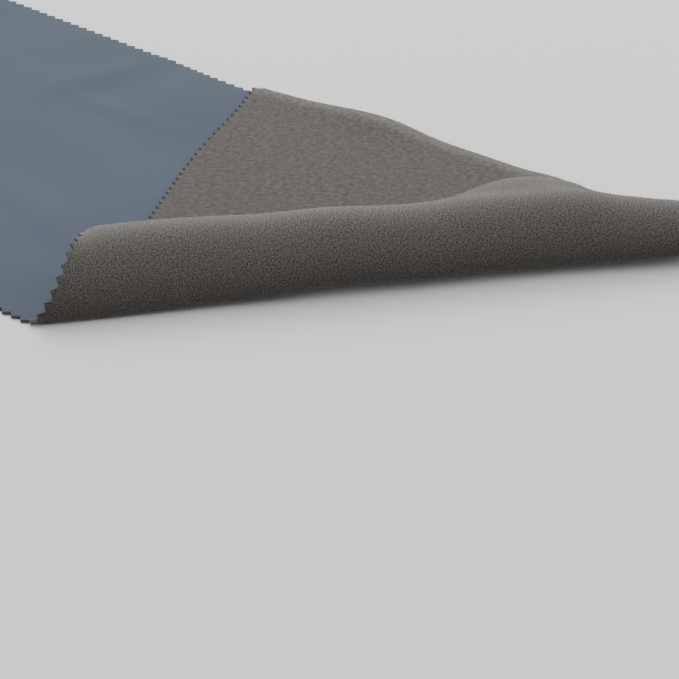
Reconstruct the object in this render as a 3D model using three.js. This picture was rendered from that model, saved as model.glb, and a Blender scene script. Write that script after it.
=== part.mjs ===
// Piano keyboard cover: one long rectangle of bonded cloth, smooth on its face and felted on its
// reverse, with every edge cut by pinking shears. It lies face up, and its right end is folded back
// over it on a slant, felt side up. The fold stands as a soft hollow roll, and the flap's far corner
// is tucked in under the cover. Millimetres, +Z up, +X along the cover, +Y from its front edge to its
// back edge.
import * as THREE from 'three';

const { degToRad, smoothstep, lerp } = THREE.MathUtils;

// The flat cut. The teeth's pitch goes a whole number of times into its length and its width
const COVER = { length: 1500, width: 300, thickness: 2.4 };
const PINKING = { pitch: 300 / 43, depth: 3, margin: 7.5 };
const LAYER_GAP = 0.5;

// The slanted fold: where its line meets the front edge, measured from the right end, and its turn
// from that edge
const FOLD = { fromEnd: 352, angle: degToRad(61.3) };

// The roll's section starts in a tight curl off the floor, runs on as a wide crown and settles on the
// cover again
const CURL = { share: 0.21, least: 2.6, turn: degToRad(60) };
const SETTLE_SHARE = 2.5;

// A row for each section of the roll: its place along the fold line from the front edge, the radius of
// its crown, the slope in degrees at which its far side falls back to the cover, and how far the cover
// is lifted at its foot
const ROLL_SECTIONS = [
  { along: -15, crown: 24.1, fall: 42, lift: 0 },
  { along: 21, crown: 23.5, fall: 42, lift: 0 },
  { along: 60, crown: 23.1, fall: 41, lift: 1 },
  { along: 100, crown: 21.7, fall: 40, lift: 2.6 },
  { along: 150, crown: 20, fall: 39, lift: 3.1 },
  { along: 185, crown: 19.5, fall: 38, lift: 2.2 },
  { along: 220, crown: 20, fall: 34, lift: 2.4 },
  { along: 248, crown: 20.2, fall: 30, lift: 1.8 },
  { along: 264, crown: 19.9, fall: 28, lift: 1.8 },
  { along: 277, crown: 19, fall: 27, lift: 2 },
  { along: 292, crown: 17.1, fall: 28, lift: 2.3 },
  { along: 308, crown: 15.3, fall: 32, lift: 2.9 },
  { along: 332, crown: 12.5, fall: 38, lift: 3.4 },
  { along: 352, crown: 6, fall: 38, lift: 3 },
  { along: 380, crown: 6, fall: 38, lift: 2 },
];

// That lift fades out over this length of the cover
const LIFT_REACH = 90;

// The tuck: the flap's far corner turns down behind the cover's back edge and lies under the cover. A
// row for each section of the turn: its place from the fold line's front end and from the front edge,
// and its soft bend's radius
const TUCK_SECTIONS = [
  { along: -190, across: 293, bend: 2.9 },
  { along: -160, across: 297, bend: 2.9 },
  { along: -142, across: 300.6, bend: 2.9 },
  { along: -107, across: 304.6, bend: 4.2 },
  { along: -87, across: 306.3, bend: 4.3 },
  { along: -55, across: 308, bend: 3 },
  { along: -23, across: 309.5, bend: 2.9 },
  { along: 7, across: 311.2, bend: 2.9 },
  { along: 22, across: 311.8, bend: 3.5 },
  { along: 36, across: 310.2, bend: 4.1 },
  { along: 52, across: 307, bend: 4.3 },
  { along: 75, across: 308.5, bend: 4.3 },
  { along: 105, across: 313.5, bend: 4.3 },
  { along: 160, across: 314.5, bend: 4.3 },
];

// Under the cover the tucked cloth slants towards the left end, by this share of its run
const TUCK_DRIFT = 0.25;

// The cover's back edge is drawn in where it rises on to the tucked corner, by this much for each
// millimetre of that rise, less towards the roll
const BACK_PULL = 2.2;

// The flap swells towards the tuck over its shoulder
const TUCK_SHOULDER = 28;

// The cover rises on to the tucked corner over this stretch before the corner's edge
const RISE = { start: 60, end: 15 };

// Low swells where the flat cloth doesn't quite reach the floor: centre from the fold line's front end
// and from the front edge, half length, half width, turn in degrees and rise
const SWELLS = [
  { along: -264, across: 256, reach: 62, spread: 17, turn: 84, rise: 2.1 },
  { along: -214, across: 224, reach: 66, spread: 13, turn: 2, rise: 1.1 },
  { along: -134, across: 97, reach: 78, spread: 19, turn: -21, rise: 1.9 },
  { along: -330, across: 120, reach: 110, spread: 30, turn: 48, rise: 1.8 },
  { along: -540, across: 170, reach: 120, spread: 34, turn: 72, rise: 2.4 },
  { along: -820, across: 120, reach: 110, spread: 38, turn: 115, rise: 2.2 },
];

// The hump behind the roll's crest near the back edge, its tail towards the front, and the droop of the
// crest at the roll's open end, placed on the flat cut in the same way
const HUMPS = [
  { along: 174, across: 197, reach: 48, spread: 30, turn: 61, rise: 8.6 },
  { along: 156, across: 170, reach: 44, spread: 26, turn: 58, rise: 4.2 },
  { along: 38, across: 0, reach: 12, spread: 26, turn: 61, rise: -2.2 },
];

// The flap's outer edge runs in a soft S: places on the front edge, from the fold line, at which the S
// starts, bows out and bows in, the depth of each bow, and the reach over which it fades into the flap
const SWAY = { start: 80, out: 230, in: 320, depth: 3, reach: 90 };

// The mesh: columns of the flat cut in each stretch, and rows across it
const FLAT_COLUMNS = [
  { share: 0.68, count: 9 },
  { share: 0.32, count: 24 },
];
const CURL_COLUMNS = { from: -36, to: 0, count: 11 };
const FLAP_COLUMNS = [
  { share: 0.2, count: 10 },
  { share: 0.26, count: 8 },
  { share: 0.54, count: 7 },
];
const BEND_COLUMNS = { before: -3, after: 3, count: 11 };
const TUCK_COLUMNS = { fromCorner: 22.5, count: 5 };
const ROWS = 19;

const layer = COVER.thickness + LAYER_GAP;
const foldStart = COVER.length - FOLD.fromEnd;
const foldSin = Math.sin(FOLD.angle);
const foldCos = Math.cos(FOLD.angle);
const longestBend = Math.PI * Math.max(...TUCK_SECTIONS.map((row) => row.bend));

// Smooth curve through a table's rows: a cubic between two rows, with slopes taken from the rows
// around them
function tableValue(rows, place, column) {
  const i = rows.findIndex((row) => row.along > place) - 1;
  if (i === -1) return rows[0][column];
  if (i < -1) return rows.at(-1)[column];
  const slope = (n) => {
    const before = rows[Math.max(n - 1, 0)];
    const after = rows[Math.min(n + 1, rows.length - 1)];
    return (after[column] - before[column]) / (after.along - before.along);
  };
  const span = rows[i + 1].along - rows[i].along;
  const t = (place - rows[i].along) / span;
  const bend0 = slope(i) * span;
  const bend1 = slope(i + 1) * span;
  const start = rows[i][column];
  const end = rows[i + 1][column];
  const square = 3 * (end - start) - 2 * bend0 - bend1;
  const cube = 2 * (start - end) + bend0 + bend1;
  return start + t * (bend0 + t * (square + t * cube));
}

// The roll's section at a place along the fold: lengths of its curl, crown, slope and settling arcs,
// and the cloth that it takes up, half of which lies on each side of the fold line
function rollSection(along) {
  const crown = tableValue(ROLL_SECTIONS, along, 'crown');
  const fall = degToRad(tableValue(ROLL_SECTIONS, along, 'fall'));
  const curl = Math.max(CURL.share * crown, CURL.least);
  const settle = SETTLE_SHARE * crown;
  const curlX = curl * Math.sin(CURL.turn);
  const curlZ = curl * (1 - Math.cos(CURL.turn));
  const crownX = curlX - crown * (Math.sin(fall) + Math.sin(CURL.turn));
  const crownZ = curlZ + crown * (Math.cos(CURL.turn) + Math.cos(fall));
  const slope = (crownZ - settle * (1 - Math.cos(fall))) / Math.sin(fall);
  const slopeX = crownX - slope * Math.cos(fall);
  const slopeZ = crownZ - slope * Math.sin(fall);
  const footX = slopeX - settle * Math.sin(fall);
  const toCrown = curl * CURL.turn;
  const toCrest = toCrown + crown * (Math.PI - CURL.turn);
  const toSlope = toCrest + crown * fall;
  const toSettle = toSlope + slope;
  const total = toSettle + settle * fall;
  const excess = total + footX;
  return { crown, fall, curl, settle, curlX, curlZ, crownX, crownZ, slopeX, slopeZ,
    toCrown, toCrest, toSlope, toSettle, total, excess };
}

// Offset across the fold line and height of the cloth at a length s along a section, from where it
// leaves the floor
function sectionPoint(roll, s) {
  if (s < roll.toCrown) {
    const turn = s / roll.curl;
    return { x: roll.curl * Math.sin(turn), z: roll.curl * (1 - Math.cos(turn)) };
  }
  if (s < roll.toSlope) {
    const turn = CURL.turn + (s - roll.toCrown) / roll.crown;
    return {
      x: roll.curlX + roll.crown * (Math.sin(turn) - Math.sin(CURL.turn)),
      z: roll.curlZ + roll.crown * (Math.cos(CURL.turn) - Math.cos(turn)),
    };
  }
  if (s < roll.toSettle) {
    const run = s - roll.toSlope;
    return { x: roll.crownX - run * Math.cos(roll.fall), z: roll.crownZ - run * Math.sin(roll.fall) };
  }
  const turn = roll.fall - Math.min((s - roll.toSettle) / roll.settle, roll.fall);
  return {
    x: roll.slopeX - roll.settle * (Math.sin(roll.fall) - Math.sin(turn)) - Math.max(s - roll.total, 0),
    z: roll.slopeZ - roll.settle * (Math.cos(turn) - Math.cos(roll.fall)),
  };
}

// Height of a table's soft humps, each with its own axis
function softHeight(rows, x, y) {
  let height = 0;
  for (const hump of rows) {
    const turn = degToRad(hump.turn);
    const dx = x - foldStart - hump.along;
    const dy = y - hump.across;
    const p = (dx * Math.cos(turn) + dy * Math.sin(turn)) / hump.reach;
    const q = (dy * Math.cos(turn) - dx * Math.sin(turn)) / hump.spread;
    height += hump.rise * Math.max(1 - p * p - q * q, 0) ** 2;
  }
  return height;
}

// Distance of a point in plan beyond the tuck, and the radius of the tuck's bend there
function beyondTuck({ x, y }) {
  return y - tableValue(TUCK_SECTIONS, x - foldStart, 'across');
}

function tuckBend({ x }) {
  return tableValue(TUCK_SECTIONS, x - foldStart, 'bend');
}

// Corners of the flap as it would lie without the tuck, and the tucked corner's slanted edge under the
// cover, from where the flap's end meets the tuck to the corner's point
const flapAngle = 2 * FOLD.angle;
const flapSide = new THREE.Vector2(Math.sin(flapAngle), -Math.cos(flapAngle));
const flapCorner = new THREE.Vector2(Math.cos(flapAngle), Math.sin(flapAngle)).multiplyScalar(FOLD.fromEnd);
flapCorner.x += foldStart;
const farCorner = flapCorner.clone().addScaledVector(flapSide, COVER.width);
const toTuck = (TUCK_SECTIONS[0].across - flapCorner.y) / flapSide.y;
const tuckStart = flapCorner.clone().addScaledVector(flapSide, toTuck);
const tuckedRun = beyondTuck(farCorner) - Math.PI * tuckBend(farCorner);
const tuckedCorner = new THREE.Vector2(
  farCorner.x - TUCK_DRIFT * tuckedRun,
  farCorner.y - beyondTuck(farCorner) - tuckedRun,
);
const tuckedEdge = tuckedCorner.sub(tuckStart).normalize();

// Height of the cover over the tucked corner, one layer up inside that corner's slanted edge and
// easing down round its end
function heightOverTucked({ x, y }) {
  const dx = x - tuckStart.x;
  const dy = y - tuckStart.y;
  const ahead = tuckedEdge.x * dx + tuckedEdge.y * dy;
  const beside = tuckedEdge.x * dy - tuckedEdge.y * dx;
  const inside = ahead < 0 ? -Math.hypot(ahead, beside) : beside;
  return layer * smoothstep(inside, -RISE.start, -RISE.end);
}

// Height of the cover's lower layer: its swells, the tucked corner under it and its lift towards the
// roll's foot
function coverHeight(point) {
  const across = (point.x - foldStart) * foldSin - point.y * foldCos;
  const along = (point.x - foldStart) * foldCos + point.y * foldSin;
  const toFoot = Math.min(across + rollSection(along).excess / 2, 0);
  const lift = tableValue(ROLL_SECTIONS, along, 'lift') * smoothstep(toFoot, -LIFT_REACH, 0);
  return softHeight(SWELLS, point.x, point.y) + heightOverTucked(point) + lift;
}

// Height at which the flap lies: on the cover, and at the width of the soft bend along the tuck
function flapRest(point) {
  const onShoulder = smoothstep(beyondTuck(point), -TUCK_SHOULDER, 0);
  return lerp(layer + coverHeight(point), 2 * tuckBend(point), onShoulder);
}

// Shift across the flat cut that gives the flap's outer edge its soft S
function edgeSway(u, v) {
  const place = u - foldStart;
  const bow = 2 * smoothstep(place, SWAY.out, SWAY.in) - smoothstep(place, SWAY.start, SWAY.out);
  return SWAY.depth * bow * (1 - smoothstep(v, 0, SWAY.reach));
}

// Middle of the cloth's thickness, above its height on the floor, for a point of the flat cut
function foldedPoint(u, v) {
  const swayed = v + edgeSway(u, v);
  const across = (u - foldStart) * foldSin - swayed * foldCos;
  const along = (u - foldStart) * foldCos + swayed * foldSin;
  const roll = rollSection(along);
  const s = across + roll.excess / 2;
  if (s <= 0) {
    const flat = { x: u, y: v };
    const fade = 1 - smoothstep(s, -LIFT_REACH, 0);
    const drawnIn = BACK_PULL * heightOverTucked(flat) * (v / COVER.width) ** 2 * fade;
    return new THREE.Vector3(u, v - drawnIn, coverHeight(flat));
  }
  const { x, z } = sectionPoint(roll, s);
  const offset = x - roll.excess / 2;
  const point = new THREE.Vector3(
    foldStart + offset * foldSin + along * foldCos,
    along * foldSin - offset * foldCos,
    z,
  );
  const footHeight = tableValue(ROLL_SECTIONS, along, 'lift') + heightOverTucked(point);
  point.z += lerp(footHeight, flapRest(point), smoothstep(s, roll.toCrest, roll.total));
  point.z += softHeight(HUMPS, u, v);
  const beyond = beyondTuck(point);
  if (s > roll.toCrest && beyond > 0) {
    const bend = tuckBend(point);
    const turn = Math.min(beyond / bend, Math.PI);
    const run = Math.max(beyond - Math.PI * bend, 0);
    point.x -= TUCK_DRIFT * run;
    point.y += bend * Math.sin(turn) - run - beyond;
    point.z -= bend * (1 - Math.cos(turn));
  }
  return point;
}

// Face and reverse of the cloth at a point of the flat cut, half its thickness along the folded
// surface's normal and never below the floor
function clothPair(u, v) {
  const step = 0.05;
  const alongCut = foldedPoint(u + step, v).sub(foldedPoint(u - step, v));
  const acrossCut = foldedPoint(u, v + step).sub(foldedPoint(u, v - step));
  const normal = alongCut.cross(acrossCut).normalize().multiplyScalar(COVER.thickness / 2);
  const middle = foldedPoint(u, v);
  middle.z += COVER.thickness / 2;
  const face = middle.clone().add(normal);
  const reverse = middle.clone().sub(normal);
  face.z = Math.max(face.z, 0);
  reverse.z = Math.max(reverse.z, 0);
  return { face, reverse };
}

// A place on the flat cut's outline, by its distance from the left end of the front edge, going round
// by the right
function outlinePoint(place) {
  const { length, width } = COVER;
  if (place <= length) return new THREE.Vector2(place, 0);
  if (place <= length + width) return new THREE.Vector2(length, place - length);
  if (place <= 2 * length + width) return new THREE.Vector2(2 * length + width - place, width);
  return new THREE.Vector2(0, 2 * (length + width) - place);
}

// Columns of the flat cut, each a straight line between two places on its outline: upright at the left
// end, along the fold line at the roll, then fanning round to the line of the tuck and on to the
// tucked corner
function columnPlaces() {
  const { length, width } = COVER;
  const half = length + width;
  const columns = [];
  const add = (bottom, top) => columns.push({ bottom, top });
  const foldPlace = (across) => {
    const bottom = foldStart + across / foldSin;
    return { bottom, top: 2 * length + width - bottom - width / Math.tan(FOLD.angle) };
  };
  const addStretches = (stretches, start, end) => {
    let from = 0;
    for (const { share, count } of stretches) {
      for (let i = 1; i <= count; i++) {
        const t = from + share * i / count;
        add(lerp(start.bottom, end.bottom, t), lerp(start.top, end.top, t));
      }
      from += share;
    }
  };
  const leftEnd = { bottom: PINKING.margin, top: half + length - PINKING.margin };
  add(leftEnd.bottom, leftEnd.top);
  addStretches(FLAT_COLUMNS, leftEnd, foldPlace(CURL_COLUMNS.from));
  for (let i = 1; i <= CURL_COLUMNS.count; i++) {
    const place = foldPlace(lerp(CURL_COLUMNS.from, CURL_COLUMNS.to, i / CURL_COLUMNS.count));
    add(place.bottom, place.top);
  }
  const backToTuck = (TUCK_SECTIONS.at(-1).across - width) / Math.sin(flapAngle);
  const backEnd = foldPlace(0).top - backToTuck;
  const tuckPlace = (beyond) => ({
    bottom: length + toTuck + beyond / flapSide.y,
    top: backEnd - beyond / Math.sin(flapAngle),
  });
  addStretches(FLAP_COLUMNS, foldPlace(CURL_COLUMNS.to), tuckPlace(BEND_COLUMNS.before));
  const bendEnd = longestBend + BEND_COLUMNS.after;
  for (let i = 1; i <= BEND_COLUMNS.count; i++) {
    const place = tuckPlace(lerp(BEND_COLUMNS.before, bendEnd, i / BEND_COLUMNS.count));
    add(place.bottom, place.top);
  }
  const tuckEnd = width * flapSide.y + flapCorner.y - TUCK_SECTIONS.at(-1).across - TUCK_COLUMNS.fromCorner;
  for (let i = 1; i <= TUCK_COLUMNS.count; i++) {
    const place = tuckPlace(lerp(bendEnd, tuckEnd, i / TUCK_COLUMNS.count));
    add(place.bottom, Math.max(place.top, half));
  }
  return columns;
}

// The pinked outline: a zigzag of tips on the outline and notches inside it, the corners being tips
function pinkedOutline() {
  const { length, width } = COVER;
  const inward = [[0, 1], [-1, 0], [0, -1], [1, 0]];
  const outline = [];
  let start = 0;
  [length, width, length, width].forEach((side, n) => {
    const halves = 2 * Math.round(side / PINKING.pitch);
    for (let k = 0; k < halves; k++) {
      const place = start + side * k / halves;
      const point = outlinePoint(place);
      if (k % 2 === 1) point.add(new THREE.Vector2(...inward[n]).multiplyScalar(PINKING.depth));
      outline.push({ place, point });
    }
    start += side;
  });
  return outline;
}

// Distance along a column from the outline to its first or last row, so that the row keeps the margin
// from the edge
function rowInset(direction, place) {
  const onEnd = place > COVER.length && place < COVER.length + COVER.width;
  return PINKING.margin / Math.abs(onEnd ? direction.x : direction.y);
}

// One closed solid: the grid of columns and rows, a strip that joins it to the pinked outline, the
// same on the reverse, and the cut edge between the two
function coverGeometry() {
  const flat = [];
  const triangles = [];
  const columns = columnPlaces();
  for (const { bottom, top } of columns) {
    const from = outlinePoint(bottom);
    const to = outlinePoint(top);
    const direction = to.clone().sub(from);
    const size = direction.length();
    direction.divideScalar(size);
    const start = rowInset(direction, bottom);
    const end = size - rowInset(direction, top);
    for (let j = 0; j <= ROWS; j++) {
      flat.push(from.clone().addScaledVector(direction, lerp(start, end, j / ROWS)));
    }
  }
  const node = (i, j) => i * (ROWS + 1) + j;
  const last = columns.length - 1;
  for (let i = 0; i < last; i++) {
    for (let j = 0; j < ROWS; j++) {
      triangles.push([node(i, j), node(i + 1, j), node(i + 1, j + 1)]);
      triangles.push([node(i, j), node(i + 1, j + 1), node(i, j + 1)]);
    }
  }
  const around = 2 * (COVER.length + COVER.width);
  const inner = columns.map(({ bottom }, i) => ({ place: bottom, index: node(i, 0) }));
  for (let j = 1; j < ROWS; j++) {
    const place = lerp(columns[last].bottom, columns[last].top, j / ROWS);
    inner.push({ place, index: node(last, j) });
  }
  for (let i = last; i >= 0; i--) inner.push({ place: columns[i].top, index: node(i, ROWS) });
  for (let j = ROWS - 1; j > 0; j--) inner.push({ place: around - flat[node(0, j)].y, index: node(0, j) });
  const edge = pinkedOutline().map(({ place, point }) => ({ place, index: flat.push(point) - 1 }));
  const notches = edge.filter((_, k) => k % 2 === 1);
  for (let k = 0; k < edge.length; k += 2) {
    triangles.push([edge.at(k - 1).index, edge[k].index, edge[k + 1].index]);
  }
  inner.push({ place: inner[0].place + around, index: inner[0].index });
  notches.push({ place: notches[0].place + around, index: notches[0].index });
  let i = 0;
  let n = 0;
  while (i < inner.length - 1 || n < notches.length - 1) {
    const stepInner = n === notches.length - 1
      || (i < inner.length - 1 && inner[i + 1].place <= notches[n + 1].place);
    if (stepInner) triangles.push([inner[i].index, notches[n].index, inner[++i].index]);
    else triangles.push([notches[n].index, notches[++n].index, inner[i].index]);
  }

  const positions = [];
  const pairs = flat.map(({ x, y }) => clothPair(x, y));
  for (const { face } of pairs) positions.push(...face);
  for (const { reverse } of pairs) positions.push(...reverse);
  const below = flat.length;
  const index = [];
  for (const [a, b, c] of triangles) {
    index.push(a, b, c);
    index.push(below + a, below + c, below + b);
  }
  edge.forEach(({ index: a }, k) => {
    const b = edge[(k + 1) % edge.length].index;
    index.push(below + a, below + b, b);
    index.push(below + a, b, a);
  });
  const geometry = new THREE.BufferGeometry();
  geometry.setAttribute('position', new THREE.Float32BufferAttribute(positions, 3));
  geometry.setIndex(index);
  geometry.computeVertexNormals();
  return geometry;
}

const geometry = coverGeometry();
geometry.computeBoundingBox();
const middle = geometry.boundingBox.getCenter(new THREE.Vector3());

const cloth = new THREE.MeshStandardMaterial({ color: 0x66727f, roughness: 0.95, metalness: 0 });
const cover = new THREE.Mesh(geometry, cloth);
cover.name = 'cover_cloth';
cover.position.set(-middle.x, -middle.y, 0);

const part = new THREE.Group();
part.add(cover);
export default part;
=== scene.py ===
from math import pi, radians

import bpy
import numpy as np
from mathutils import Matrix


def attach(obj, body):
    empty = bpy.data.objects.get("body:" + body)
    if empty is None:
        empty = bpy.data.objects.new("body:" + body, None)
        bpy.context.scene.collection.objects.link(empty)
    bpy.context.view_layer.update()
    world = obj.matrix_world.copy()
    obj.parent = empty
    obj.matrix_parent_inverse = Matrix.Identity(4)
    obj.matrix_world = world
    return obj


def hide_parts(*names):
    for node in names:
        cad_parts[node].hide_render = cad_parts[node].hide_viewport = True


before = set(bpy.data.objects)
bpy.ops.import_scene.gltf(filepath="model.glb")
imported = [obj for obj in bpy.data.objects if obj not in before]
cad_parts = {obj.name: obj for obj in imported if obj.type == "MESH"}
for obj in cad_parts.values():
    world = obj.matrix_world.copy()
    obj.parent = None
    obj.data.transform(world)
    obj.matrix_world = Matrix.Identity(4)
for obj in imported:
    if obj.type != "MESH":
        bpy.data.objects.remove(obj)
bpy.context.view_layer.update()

# The cover
# One rectangle of bonded cloth, brushed face on needled felt, cut all round with pinking shears. Its
# right end is folded back on a slant, felt side up, in a soft hollow roll, and the flap's far corner
# is tucked in under the cover. Nothing fixes it. Sizes are in millimetres.
MM = 0.001
LENGTH, WIDTH, THICKNESS = 1500, 300, 2.4
LAYER = THICKNESS + 0.5
FOLD_START = LENGTH - 352
FOLD_ANGLE = radians(61.3)
FOLD_SIN, FOLD_COS = np.sin(FOLD_ANGLE), np.cos(FOLD_ANGLE)

# Middle of the folded cover's outline, from the cut's front left corner, which is the frame's origin
BOX_MIDDLE = (653.3737, 159.8061)


def table(columns, *rows):
    """Rows of numbers as named columns."""
    return dict(zip(columns.split(), np.array(rows, float).T))


# Sections of the roll: place along the fold line from the front edge, radius of the crown, slope
# in degrees of the far side, and how far the cover is lifted at the roll's foot
ROLL = table(
    "along crown fall lift",
    (-15, 24.1, 42, 0),
    (21, 23.5, 42, 0),
    (60, 23.1, 41, 1),
    (100, 21.7, 40, 2.6),
    (150, 20, 39, 3.1),
    (185, 19.5, 38, 2.2),
    (220, 20, 34, 2.4),
    (248, 20.2, 30, 1.8),
    (264, 19.9, 28, 1.8),
    (277, 19.0, 27, 2),
    (292, 17.1, 28, 2.3),
    (308, 15.3, 32, 2.9),
    (332, 12.5, 38, 3.4),
    (352, 6, 38, 3),
    (380, 6, 38, 2),
)
CURL_SHARE, CURL_LEAST, CURL_TURN = 0.21, 2.6, radians(60)
SETTLE_SHARE = 2.5
LIFT_REACH = 90

# The tuck: place from the fold line's front end and from the front edge, and radius of its bend
TUCK = table(
    "along across bend",
    (-190, 293, 2.9),
    (-160, 297, 2.9),
    (-142, 300.6, 2.9),
    (-107, 304.6, 4.2),
    (-87, 306.3, 4.3),
    (-55, 308, 3),
    (-23, 309.5, 2.9),
    (7, 311.2, 2.9),
    (22, 311.8, 3.5),
    (36, 310.2, 4.1),
    (52, 307, 4.3),
    (75, 308.5, 4.3),
    (105, 313.5, 4.3),
    (160, 314.5, 4.3),
)
TUCK_SHOULDER = 28
TUCK_DRIFT = 0.25
BACK_PULL = 2.2
RISE_START, RISE_END = 60, 15

# Low swells of the flat cloth: centre, half length, half width, turn in degrees and rise
SWELLS = table(
    "along across reach spread turn rise",
    (-264, 256, 62, 17, 84, 2.1),
    (-214, 224, 66, 13, 2, 1.1),
    (-134, 97, 78, 19, -21, 1.9),
    (-330, 120, 110, 30, 48, 1.8),
    (-540, 170, 120, 34, 72, 2.4),
    (-820, 120, 110, 38, 115, 2.2),
)

# Soft ridges and hollows of the roll and the flap, placed on the flat cut in the same way
CREASES = table(
    "along across reach spread turn rise",
    (174, 197, 48, 30, 61, 8.6),
    (156, 170, 44, 26, 58, 4.2),
    (38, 0, 12, 26, 61, -2.2),
)

# Soft S of the flap's outer edge: places on the front edge, from the fold line, at which it starts,
# bows out and bows in, the depth of each bow, and the reach over which it fades into the flap
SWAY_START, SWAY_OUT, SWAY_IN, SWAY_DEPTH, SWAY_REACH = 80, 230, 320, 3, 90

# How much thinner the shears leave the cloth at its cut edge, and how far in from it
EDGE_PRESS, EDGE_REACH = 0.4, 6

# Painted sheen that lightens the felt: how strong on the roll's crest, how far past and across it, and
# over what width before the tuck
SHEEN_CREST, SHEEN_PAST, SHEEN_SPREAD, SHEEN_SHOULDER = 0.8, 4, 14, 12


def curve(rows, column, place):
    """Smooth curve through a table's rows: a cubic between two rows, whose slope at a row is that of
    the line between the rows on either side of it. Outside the table its end values hold."""
    x, y = rows["along"], rows[column]
    row = np.pad(np.arange(len(x)), 1, mode="edge")
    slope = (y[row[2:]] - y[row[:-2]]) / (x[row[2:]] - x[row[:-2]])
    place = np.clip(place, x[0], x[-1])
    i = np.clip(np.searchsorted(x, place, side="right") - 1, 0, len(x) - 2)
    span = x[i + 1] - x[i]
    t = (place - x[i]) / span
    start, end, climb = slope[i] * span, slope[i + 1] * span, y[i + 1] - y[i]
    return y[i] + t * (start + t * (3 * climb - 2 * start - end + t * (start + end - 2 * climb)))


def ease(start, end, value):
    """0 before start and 1 after end, with a smooth cubic step between."""
    t = np.clip((value - start) / (end - start), 0, 1)
    return t * t * (3 - 2 * t)


def from_fold(x, y):
    """Place along the fold line from the front edge, and distance across it towards the right end."""
    dx = x - FOLD_START
    return dx * FOLD_COS + y * FOLD_SIN, dx * FOLD_SIN - y * FOLD_COS


def roll_section(along):
    """The roll's section: lengths along the cloth to the ends of its curl, crest, crown, slope and
    settling arc, and the cloth it takes up, half of which lies on each side of the fold line."""
    crown = curve(ROLL, "crown", along)
    fall = np.radians(curve(ROLL, "fall", along))
    curl = np.maximum(CURL_SHARE * crown, CURL_LEAST)
    settle = SETTLE_SHARE * crown
    crown_x = curl * np.sin(CURL_TURN) - crown * (np.sin(fall) + np.sin(CURL_TURN))
    crown_z = curl * (1 - np.cos(CURL_TURN)) + crown * (np.cos(CURL_TURN) + np.cos(fall))
    slope = (crown_z - settle * (1 - np.cos(fall))) / np.sin(fall)
    foot_x = crown_x - slope * np.cos(fall) - settle * np.sin(fall)
    to_crown = curl * CURL_TURN
    to_crest = to_crown + crown * (pi - CURL_TURN)
    to_slope = to_crest + crown * fall
    to_settle = to_slope + slope
    total = to_settle + settle * fall
    return {"crown": crown, "fall": fall, "curl": curl, "settle": settle, "to_crown": to_crown,
            "to_crest": to_crest, "to_slope": to_slope, "to_settle": to_settle, "total": total,
            "excess": total + foot_x}


def roll_travel(roll, s):
    """Offset and height at a length s along a section. The flat cover, a tight curl off the floor, the
    crown's arc, a straight slope, an arc that settles on the cover and the flap each add their own."""
    curl, crown, fall, settle = (roll[k] for k in ("curl", "crown", "fall", "settle"))
    turn = np.clip(s, 0, roll["to_crown"]) / curl
    x = np.minimum(s, 0) + curl * np.sin(turn)
    z = curl * (1 - np.cos(turn))
    turn = CURL_TURN + (np.clip(s, roll["to_crown"], roll["to_slope"]) - roll["to_crown"]) / crown
    x += crown * (np.sin(turn) - np.sin(CURL_TURN))
    z += crown * (np.cos(CURL_TURN) - np.cos(turn))
    run = np.clip(s, roll["to_slope"], roll["to_settle"]) - roll["to_slope"]
    x -= run * np.cos(fall)
    z -= run * np.sin(fall)
    turn = fall - (np.clip(s, roll["to_settle"], roll["total"]) - roll["to_settle"]) / settle
    x -= settle * (np.sin(fall) - np.sin(turn)) + np.maximum(s - roll["total"], 0)
    z -= settle * (np.cos(turn) - np.cos(fall))
    return x, z


def over_tucked(x, y):
    """One layer's height inside the slanted edge of the tucked corner, easing in before that edge and
    round its end."""
    flap_angle = 2 * FOLD_ANGLE
    side = np.array([np.sin(flap_angle), -np.cos(flap_angle)])
    corner = np.array([np.cos(flap_angle), np.sin(flap_angle)]) * (LENGTH - FOLD_START)
    far = corner + side * WIDTH
    start = corner + side * (TUCK["across"][0] - corner[1]) / side[1]
    across = curve(TUCK, "across", far[0])
    run = far[1] - across - pi * curve(TUCK, "bend", far[0])
    edge = np.array([far[0] - TUCK_DRIFT * run, across - run]) - start
    edge /= np.hypot(*edge)
    dx, dy = x - FOLD_START - start[0], y - start[1]
    ahead, inside = edge[0] * dx + edge[1] * dy, edge[0] * dy - edge[1] * dx
    inside = np.where(ahead < 0, -np.hypot(ahead, inside), inside)
    return LAYER * ease(-RISE_START, -RISE_END, inside)


def soft_humps(rows, x, y):
    """Sum of soft humps, each the square of an upturned paraboloid about its own turned axes."""
    height = 0
    for middle, out, reach, spread, turn, rise in np.transpose(list(rows.values())):
        turn = np.radians(turn)
        dx, dy = x - FOLD_START - middle, y - out
        p = (dx * np.cos(turn) + dy * np.sin(turn)) / reach
        q = (dy * np.cos(turn) - dx * np.sin(turn)) / spread
        height = height + rise * np.maximum(1 - p * p - q * q, 0) ** 2
    return height


def cover_height(x, y):
    """Height of the lower layer: low swells, the rise on to the tucked corner, and the lift towards the
    roll's foot."""
    along, across = from_fold(x, y)
    foot = across + roll_section(along)["excess"] / 2
    height = over_tucked(x, y) + curve(ROLL, "lift", along) * ease(-LIFT_REACH, 0, foot)
    return height + soft_humps(SWELLS, x, y)


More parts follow.
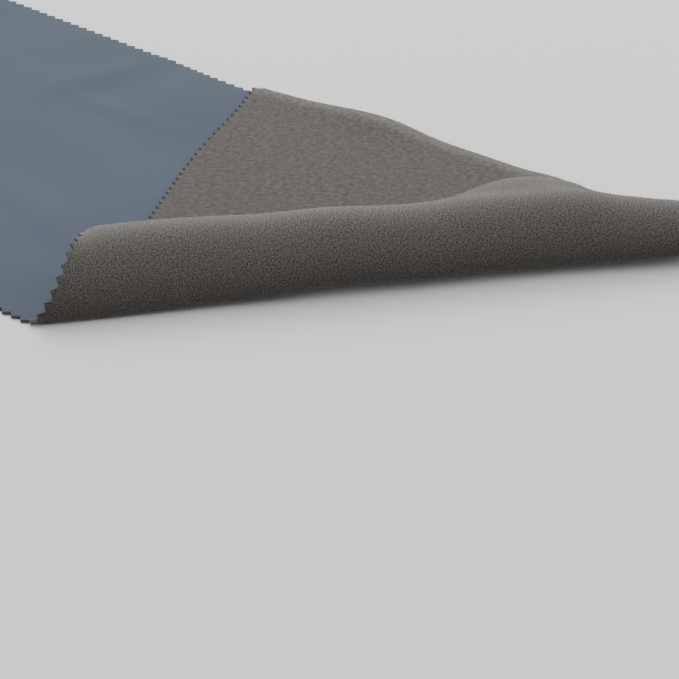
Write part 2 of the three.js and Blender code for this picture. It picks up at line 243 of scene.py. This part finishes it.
def rolled(u, v):
    """For places of the flat cut: the roll's section there, the length s along it, the place and height
    that it gives, and the distance beyond the tuck, which only the flap has. The sway of the flap's
    edge shifts the cut across its width, less and less away from that edge."""
    place = u - FOLD_START
    bow = 2 * ease(SWAY_OUT, SWAY_IN, place) - ease(SWAY_START, SWAY_OUT, place)
    along, across = from_fold(u, v + SWAY_DEPTH * bow * (1 - ease(0, SWAY_REACH, v)))
    roll = roll_section(along)
    s = across + roll["excess"] / 2
    offset, z = roll_travel(roll, s)
    offset = offset - roll["excess"] / 2
    x = FOLD_START + offset * FOLD_SIN + along * FOLD_COS
    y = along * FOLD_SIN - offset * FOLD_COS
    beyond = np.where(s > roll["to_crest"], y - curve(TUCK, "across", x - FOLD_START), -WIDTH)
    return along, roll, s, x, y, z, beyond


def folded(u, v):
    """Middle of the cloth's thickness, above its height on the floor, for places of the flat cut: the
    section of the roll, its creases, the layers it rests on, then the bend of the tuck."""
    along, roll, s, x, y, z, beyond = rolled(u, v)
    bend = curve(TUCK, "bend", x - FOLD_START)
    under = cover_height(x, y)
    foot = np.where(s <= 0, under, curve(ROLL, "lift", along) + over_tucked(x, y))
    shoulder = ease(-TUCK_SHOULDER, 0, beyond)
    rest = (LAYER + under) * (1 - shoulder) + 2 * bend * shoulder
    settled = ease(roll["to_crest"], roll["total"], s)
    z = z + foot * (1 - settled) + rest * settled + soft_humps(CREASES, u, v)
    beyond = np.maximum(beyond, 0)
    turn = np.minimum(beyond / bend, pi)
    run = np.maximum(beyond - pi * bend, 0)
    drawn_in = BACK_PULL * over_tucked(x, y) * (v / WIDTH) ** 2 * (1 - ease(-LIFT_REACH, 0, s))
    x = x - TUCK_DRIFT * run
    y = y + bend * np.sin(turn) - run - beyond - drawn_in
    z = z - bend * (1 - np.cos(turn))
    return np.stack([x, y, z], -1)


def cloth_sides(u, v, step=0.05):
    """Points of the face and of the reverse, half the thickness along the normal on either side of
    the folded middle and never below the floor, with that normal and the direction of the cut. The
    shears press the cloth thinner towards its edge."""
    lengthwise = folded(u + step, v) - folded(u - step, v)
    crosswise = folded(u, v + step) - folded(u, v - step)
    normal = np.cross(lengthwise, crosswise)
    normal /= np.linalg.norm(normal, axis=-1, keepdims=True)
    lengthwise /= np.linalg.norm(lengthwise, axis=-1, keepdims=True)
    middle = folded(u, v) + np.array([-BOX_MIDDLE[0], -BOX_MIDDLE[1], THICKNESS / 2])
    inside = np.minimum(np.minimum(u, LENGTH - u), np.minimum(v, WIDTH - v))
    half = THICKNESS / 2 * (1 - EDGE_PRESS * (1 - ease(0, EDGE_REACH, inside)))[..., None]
    face, reverse = middle + normal * half, middle - normal * half
    for side in (face, reverse):
        side[..., 2] = np.maximum(side[..., 2], 0)
    return face, reverse, normal, lengthwise


def painted_sheen(u, v):
    """How much painted sheen lightens the felt, from 0 to 1: a bell curve across the roll's
    crest, the top of the hump, and a ramp up to the tuck."""
    _, roll, s, *_, beyond = rolled(u, v)
    crest = SHEEN_CREST * np.exp(-((s - roll["to_crest"] - SHEEN_PAST) / SHEEN_SPREAD) ** 2)
    hump = np.maximum(soft_humps(CREASES, u, v), 0) / CREASES["rise"].max()
    return np.clip(crest + hump + ease(-SHEEN_SHOULDER, 0, beyond), 0, 1)


def bent_nap(u, v):
    """How far the felt is bent outwards rather than lying flat: 1 round the roll, easing from its crest
    to 0 where it settles on the cover."""
    _, roll, s, *_ = rolled(u, v)
    return 1 - ease(roll["to_crest"], roll["total"], s)


# The cover's closed mesh: its face, its felt reverse and the cut edge between them, with the zigzag
# of small teeth that the pinking shears leave along all four sides
PINKING_PITCH, PINKING_DEPTH, PINKING_MARGIN = WIDTH / 43, 3, 7.5
AROUND = 2 * (LENGTH + WIDTH)
CORNERS = np.array([0, LENGTH, LENGTH + WIDTH, 2 * LENGTH + WIDTH, AROUND])
ROWS = 64
SHARP_EDGE = radians(50)


def outline_point(place):
    """Point of the flat cut's outline at a distance round it from the left end of the front edge."""
    u = np.interp(place, CORNERS, [0, LENGTH, LENGTH, 0, 0])
    v = np.interp(place, CORNERS, [0, 0, WIDTH, WIDTH, 0])
    return np.stack([u, v], -1)


def fold_place(across):
    """Both ends on the outline of a line that runs beside the fold line, that far across it."""
    bottom = FOLD_START + across / FOLD_SIN
    return np.array([bottom, 2 * LENGTH + WIDTH - bottom - WIDTH * FOLD_COS / FOLD_SIN])


def tuck_place(beyond):
    """Both ends on the outline of a line that runs beside the tuck on the flat cut, that far beyond
    it."""
    flap_sin, flap_cos = np.sin(2 * FOLD_ANGLE), np.cos(2 * FOLD_ANGLE)
    bottom = (TUCK["across"][0] + beyond - flap_sin * (LENGTH - FOLD_START)) / -flap_cos
    top = FOLD_START + WIDTH * FOLD_COS / FOLD_SIN + (TUCK["across"][-1] + beyond - WIDTH) / flap_sin
    return np.array([LENGTH + bottom, max(2 * LENGTH + WIDTH - top, LENGTH + WIDTH)])


# Lines of the flat cut that the mesh's columns pass through, and the columns up to each: from the
# left end to the fold line's slant, closely over the roll, then fanning round to the tuck
STATIONS = (
    (np.array([PINKING_MARGIN, 2 * LENGTH + WIDTH - PINKING_MARGIN]), 0),
    (fold_place(-130), 110),
    (fold_place(-42), 26),
    (fold_place(6), 40),
    (0.7 * fold_place(6) + 0.3 * tuck_place(-4), 44),
    (tuck_place(-4), 46),
    (tuck_place(17), 22),
    (tuck_place(66), 12),
)


def columns_of_cut():
    """Both ends of every column, evenly spaced between one station and the next."""
    ends = [STATIONS[0][0][None]]
    for (start, _), (end, count) in zip(STATIONS, STATIONS[1:]):
        ends.append(start + (end - start) * np.arange(1, count + 1)[:, None] / count)
    return np.concatenate(ends)


def pinked_cut():
    """Places on the flat cut and the faces between them: a grid of columns and rows that keeps a margin
    from the outline, a strip of triangles that joins it to the notches, and a triangle for each
    tooth."""
    ends = columns_of_cut()
    start, end = outline_point(ends[:, 0]), outline_point(ends[:, 1])
    size = np.linalg.norm(end - start, axis=1, keepdims=True)
    direction = (end - start) / size
    on_end = (ends > LENGTH) & (ends < LENGTH + WIDTH)
    inset = PINKING_MARGIN / np.abs(np.where(on_end, direction[:, :1], direction[:, 1:]))
    share = np.linspace(0, 1, ROWS + 1)
    reach = inset[:, :1] + (size - inset.sum(1, keepdims=True)) * share
    grid = start[:, None] + direction[:, None] * reach[..., None]
    node = np.arange(grid.size // 2).reshape(grid.shape[:2])
    quads = np.stack([node[:-1, :-1], node[1:, :-1], node[1:, 1:], node[:-1, 1:]], -1).reshape(-1, 4)

    place = np.arange(round(2 * AROUND / PINKING_PITCH)) * PINKING_PITCH / 2
    side = np.searchsorted(CORNERS, place, side="right") - 1
    inward = np.array([[0, 1], [-1, 0], [0, -1], [1, 0]])[side]
    zigzag = outline_point(place) + inward * PINKING_DEPTH * (np.arange(len(place)) % 2)[:, None]
    outline = grid.size // 2 + np.arange(len(place))
    teeth = np.stack([np.roll(outline, 1), outline, np.roll(outline, -1)], -1)[::2]

    rim = np.r_[node[:, 0], node[-1, 1:-1], node[::-1, -1], node[0, -2:0:-1]]
    rim_place = np.r_[ends[:, 0], ends[-1, 0] + (ends[-1, 1] - ends[-1, 0]) * share[1:-1], ends[::-1, 1],
                      AROUND - grid[0, -2:0:-1, 1]]
    notch, notch_place = outline[1::2], place[1::2]
    steps = np.r_[rim_place[1:], rim_place[0] + AROUND, notch_place[1:], notch_place[0] + AROUND]
    order = np.argsort(steps, kind="stable")
    on_rim = order < len(rim)
    i = (np.cumsum(on_rim) - on_rim) % len(rim)
    n = (np.cumsum(~on_rim) - ~on_rim) % len(notch)
    third = np.where(on_rim, np.roll(rim, -1)[i], np.roll(notch, -1)[n])
    strip = np.where(on_rim[:, None], np.stack([rim[i], notch[n], third], -1),
                     np.stack([notch[n], third, rim[i]], -1))
    return np.r_[grid.reshape(-1, 2), zigzag], quads, np.r_[teeth, strip], outline


def put(name, data):
    """A new object of that data, at the origin and unturned."""
    item = bpy.data.objects.new(name, data)
    bpy.context.collection.objects.link(item)
    return item


places, quads, triangles, outline = pinked_cut()
face, reverse, _, _ = cloth_sides(*places.T)
below = len(places)
onward = np.roll(outline, -1)
walls = np.c_[outline + below, onward + below, onward, outline]
faces = [*quads.tolist(), *triangles.tolist(), *(quads + below)[:, ::-1].tolist(),
         *(triangles + below)[:, ::-1].tolist(), *walls.tolist()]
mesh = bpy.data.meshes.new("cover")
mesh.from_pydata(np.r_[face, reverse] * MM, [], faces)
side_faces = len(quads) + len(triangles)
sides = np.repeat([0, 1, 2], [side_faces, side_faces, len(walls)])
mesh.polygons.foreach_set("material_index", sides.astype(np.int32))
mesh.polygons.foreach_set("use_smooth", np.ones(len(sides), bool))
mesh.set_sharp_from_angle(angle=SHARP_EDGE)
corner = np.zeros(len(mesh.loops), np.int32)
mesh.loops.foreach_get("vertex_index", corner)
uv = np.r_[places, places][corner] * MM
mesh.uv_layers.new(name="flat_cut").data.foreach_set("uv", uv.astype(np.float32).ravel())
for nap_value in (painted_sheen, bent_nap):
    attribute = mesh.attributes.new(nap_value.__name__, "FLOAT", "POINT")
    attribute.data.foreach_set("value", np.tile(nap_value(*places.T), 2).astype(np.float32))
cover = put("cover", mesh)


def linear(code, alpha=1):
    """An sRGB hex colour as linear red, green, blue and alpha."""
    c = np.array([int(code[i:i + 2], 16) for i in (1, 3, 5)]) / 255
    c = np.where(c > 0.04045, ((c + 0.055) / 1.055) ** 2.4, c / 12.92)
    return (*c, alpha)


def add(tree, kind, inputs=(), **settings):
    """Adds a shader node with its settings. Each input is a value, or a socket to link from."""
    node = tree.nodes.new("ShaderNode" + kind)
    for name, value in settings.items():
        setattr(node, name, value)
    for name, value in dict(inputs).items():
        if isinstance(value, bpy.types.NodeSocket):
            tree.links.new(value, node.inputs[name])
        else:
            node.inputs[name].default_value = value
    return node


def empty_tree(block):
    """The node tree of a new material or world, emptied."""
    block.use_nodes = True
    block.node_tree.nodes.clear()
    return block.node_tree


def two_tones(tree, share, dark, light):
    """Colour between two sRGB hex tones, by the share that a socket gives."""
    inputs = {"Factor": share, 6: linear(dark), 7: linear(light)}
    return add(tree, "Mix", inputs, data_type="RGBA").outputs[2]


def per_mm(size):
    """Pattern scale for a feature of that many millimetres, on a map in metres."""
    return 1 / (size * MM)


# Brushed polyester face: a close, even nap that hides the weave, so that it looks smooth and matt,
# with faint cloudy changes of tone where the nap lies differently. Its fibres are too fine to show, so
# the grain is drawn at 1.6 mm.
cloth = bpy.data.materials.new("brushed_polyester")
tree = empty_tree(cloth)
flat = add(tree, "UVMap", uv_map="flat_cut").outputs["UV"]
clouds = add(tree, "TexNoise", {"Vector": flat, "Scale": per_mm(70), "Detail": 3, "Roughness": 0.5})
grain = add(tree, "TexNoise", {"Vector": flat, "Scale": per_mm(1.6), "Detail": 2, "Roughness": 0.6})
tone = add(tree, "Math", {0: grain.outputs["Fac"], 1: 0.25, 2: clouds.outputs["Fac"]},
           operation="MULTIPLY_ADD")
colour = two_tones(tree, tone.outputs[0], "#3c4652", "#48515e")
bump = add(tree, "Bump", {"Height": grain.outputs["Fac"], "Strength": 0.25, "Distance": 0.0003})
shader = add(tree, "BsdfPrincipled", {
    "Base Color": colour, "Normal": bump.outputs["Normal"], "Roughness": 0.8,
    "IOR": 1.45, "Specular IOR Level": 0.2, "Sheen Weight": 0.03, "Sheen Roughness": 0.5})
add(tree, "OutputMaterial", {"Surface": shader.outputs["BSDF"]})

# Needled felt reverse: tangled grey fibres. Where the felt lies flat they are pressed into soft lighter
# and darker tufts, and where it is bent they open into a fine crisp grain. Painted sheen makes the
# colour paler on the roll's crest, the hump's top and up to the tuck. Single fibres are too fine to
# show, so the tufts are drawn at 3 mm and the grain at 0.8 mm.
felt = bpy.data.materials.new("needled_felt")
tree = empty_tree(felt)
flat = add(tree, "UVMap", uv_map="flat_cut").outputs["UV"]
bent = add(tree, "Attribute", attribute_name="bent_nap").outputs["Fac"]
tufts = add(tree, "TexNoise", {"Vector": flat, "Scale": per_mm(3), "Detail": 3, "Roughness": 0.55})
pressed = add(tree, "Math", {0: tufts.outputs["Fac"], 1: 0.55, 2: 0.24}, operation="MULTIPLY_ADD")
specks = add(tree, "TexNoise", {"Vector": flat, "Scale": per_mm(0.8), "Detail": 2, "Roughness": 0.75})
grain = add(tree, "Math", {0: specks.outputs["Fac"], 1: 1.9, 2: -0.42}, operation="MULTIPLY_ADD")
tangle = add(tree, "Mix", {"Factor": bent, "A": pressed.outputs[0], "B": grain.outputs[0]})
spread = add(tree, "MapRange",
             {"Value": tangle.outputs["Result"], "From Min": 0.22, "From Max": 0.74})
colour = two_tones(tree, spread.outputs[0], "#292725", "#6a6662")
# Painted sheen: the felt's colour is made up to 1.65 times lighter on the crest, the hump's top and up
# to the tuck
sheen_share = add(tree, "Attribute", attribute_name="painted_sheen").outputs["Fac"]
sheen_gain = add(tree, "Math", {0: sheen_share, 1: 0.65, 2: 1}, operation="MULTIPLY_ADD")
colour = add(tree, "VectorMath", {0: colour, "Scale": sheen_gain.outputs[0]}, operation="SCALE")
bump = add(tree, "Bump", {"Height": tangle.outputs["Result"], "Strength": 0.8, "Distance": 0.0005})
shader = add(tree, "BsdfPrincipled", {
    "Base Color": colour.outputs[0], "Normal": bump.outputs["Normal"], "Roughness": 0.95,
    "IOR": 1.45, "Specular IOR Level": 0.1, "Sheen Weight": 0.4, "Sheen Roughness": 0.2})
add(tree, "OutputMaterial", {"Surface": shader.outputs["BSDF"]})

# Cut edge: the felt's core as the shears leave it, dense, matt and dark against the blue face
edge = bpy.data.materials.new("sheared_felt_edge")
tree = empty_tree(edge)
flat = add(tree, "UVMap", uv_map="flat_cut").outputs["UV"]
specks = add(tree, "TexNoise", {"Vector": flat, "Scale": per_mm(0.9), "Detail": 2})
colour = two_tones(tree, specks.outputs["Fac"], "#46433f", "#66625d")
bump = add(tree, "Bump", {"Height": specks.outputs["Fac"], "Strength": 0.5, "Distance": 0.0004})
shader = add(tree, "BsdfPrincipled", {
    "Base Color": colour, "Normal": bump.outputs["Normal"], "Roughness": 0.95,
    "IOR": 1.45, "Specular IOR Level": 0.15})
add(tree, "OutputMaterial", {"Surface": shader.outputs["BSDF"]})

for material in (cloth, felt, edge):
    mesh.materials.append(material)
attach(cover, "root")
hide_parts("cover_cloth")

# The felt's nap
# Loose ends of the felt's fibres that stand out from its turned-up side and soften its outline,
# on the roll and the flap. Each is a three-sided spike rooted in the felt, thicker than a real fibre,
# which would be too fine to show.
NAP_DRAWS, NAP_SEED = 62000, 11
NAP_LENGTH, NAP_WIDTH = (0.6, 1.7), 0.15
NAP_RISE = (radians(8), radians(55))

# How far before the fold line it starts, its margins from the roll's foot and past the tuck, how deep
# it is rooted, and how far its tips keep from the floor
NAP_BEFORE, NAP_FOOT, NAP_TUCK, NAP_ROOTED, NAP_CLEAR = 60, 4, 3, 0.2, 0.1


def nap_roots():
    """Random places of the flat cut on the roll and the flap that aren't tucked in."""
    rng = np.random.default_rng(NAP_SEED)
    u = rng.uniform(FOLD_START - NAP_BEFORE, LENGTH - PINKING_DEPTH, NAP_DRAWS)
    v = rng.uniform(PINKING_DEPTH, WIDTH - PINKING_DEPTH, NAP_DRAWS)
    _, _, s, *_, beyond = rolled(u, v)
    keep = (s > NAP_FOOT) & (beyond < NAP_TUCK)
    return rng, u[keep], v[keep]


rng, u, v = nap_roots()
_, root, normal, lengthwise = cloth_sides(u, v)
outward = -normal
sideways = np.cross(outward, lengthwise)
heading = rng.uniform(0, 2 * pi, len(u))[:, None]
rise = rng.uniform(*NAP_RISE, len(u))[:, None]
flatwise = lengthwise * np.cos(heading) + sideways * np.sin(heading)
along_fibre = flatwise * np.cos(rise) + outward * np.sin(rise)
tip = root + along_fibre * rng.uniform(*NAP_LENGTH, len(u))[:, None]
tip[:, 2] = np.maximum(tip[:, 2], NAP_CLEAR)
across_fibre = np.cross(along_fibre, outward)
across_fibre /= np.linalg.norm(across_fibre, axis=1, keepdims=True)
third = np.cross(along_fibre, across_fibre)
turns = np.arange(3) * 2 * pi / 3
rim = (root - outward * NAP_ROOTED)[:, None] + NAP_WIDTH / 2 * (
    across_fibre[:, None] * np.cos(turns)[:, None] + third[:, None] * np.sin(turns)[:, None])
points = np.concatenate([rim, tip[:, None]], 1)
spike = np.array([[0, 1, 3], [1, 2, 3], [2, 0, 3], [2, 1, 0]])
nap_faces = (spike + 4 * np.arange(len(u))[:, None, None]).reshape(-1, 3)
nap_mesh = bpy.data.meshes.new("nap")
nap_mesh.from_pydata(points.reshape(-1, 3) * MM, [], nap_faces.tolist())
nap = put("nap", nap_mesh)

# Loose felt fibre: greys paler than the felt's own, a painted sheen that lightens the roll's crest and
# outline where the fibres crowd, lighter or darker at random from place to place
fibre_and_sheen = bpy.data.materials.new("loose_felt_fibre_and_sheen")
tree = empty_tree(fibre_and_sheen)
where = add(tree, "TexCoord").outputs["Object"]
mixed = add(tree, "TexNoise", {"Vector": where, "Scale": per_mm(2.2), "Detail": 1})
colour = two_tones(tree, mixed.outputs["Fac"], "#5c5853", "#b0aaa2")
shader = add(tree, "BsdfPrincipled", {
    "Base Color": colour, "Roughness": 0.85, "IOR": 1.45, "Specular IOR Level": 0.2})
add(tree, "OutputMaterial", {"Surface": shader.outputs["BSDF"]})
nap_mesh.materials.append(fibre_and_sheen)
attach(nap, "root")

# The floor
# A plain pale studio floor, matt, with a faint unevenness of tone.
FLOOR_HALF = 30
floor_mesh = bpy.data.meshes.new("floor")
corners = np.array([(-1, -1, 0), (1, -1, 0), (1, 1, 0), (-1, 1, 0)]) * FLOOR_HALF
floor_mesh.from_pydata(corners.tolist(), [], [(0, 1, 2, 3)])
floor = put("floor", floor_mesh)

# Matt studio paper: pale and even, so that only the cover's soft shadow shows on it
paper = bpy.data.materials.new("matt_studio_paper")
tree = empty_tree(paper)
where = add(tree, "TexCoord").outputs["Object"]
clouds = add(tree, "TexNoise", {"Vector": where, "Scale": per_mm(1250), "Detail": 2})
colour = two_tones(tree, clouds.outputs["Fac"], "#e2e1e1", "#e5e4e4")
shader = add(tree, "BsdfPrincipled", {"Base Color": colour, "Roughness": 0.9})
add(tree, "OutputMaterial", {"Surface": shader.outputs["BSDF"]})
floor_mesh.materials.append(paper)

# The floor throws no light back on to the cover, whose roll is dark towards its foot
floor.visible_diffuse = False

# The light
# A pale studio ceiling all round that fades out below the horizon, and a soft box overhead.
soft_box = bpy.data.lights.new("soft_box", "AREA")
soft_box.shape, soft_box.size, soft_box.size_y = "RECTANGLE", 2.4, 1.6
soft_box.energy = 36
lamp = put("soft_box", soft_box)
lamp.location = (-0.9, 1.2, 1.7)
lamp.rotation_euler = (radians(44), 0, radians(-137.5))
world = bpy.data.worlds.new("studio_ceiling")
tree = empty_tree(world)
where = add(tree, "TexCoord").outputs["Generated"]
height = add(tree, "SeparateXYZ", {"Vector": where}).outputs["Z"]
fade = add(tree, "MapRange", {"Value": height, "From Min": -0.2, "From Max": 0.1})
colour = two_tones(tree, fade.outputs[0], "#303030", "#f6f7f8")
glow = add(tree, "Background", {"Color": colour, "Strength": 1.4})
add(tree, "OutputWorld", {"Surface": glow.outputs[0]})
bpy.context.scene.world = world

# The camera
# A long lens from the front right, at the height from which the cover is seen.
camera = put("camera", bpy.data.cameras.new("camera"))
camera.data.sensor_width = 36
camera.data.lens = 249.2
camera.location = (2.10521, -1.49895, 0.90633)
camera.rotation_euler = (radians(90 - 23.41), 0, radians(46.58))
camera.data.clip_start, camera.data.clip_end = 0.05, 200
bpy.context.scene.camera = camera
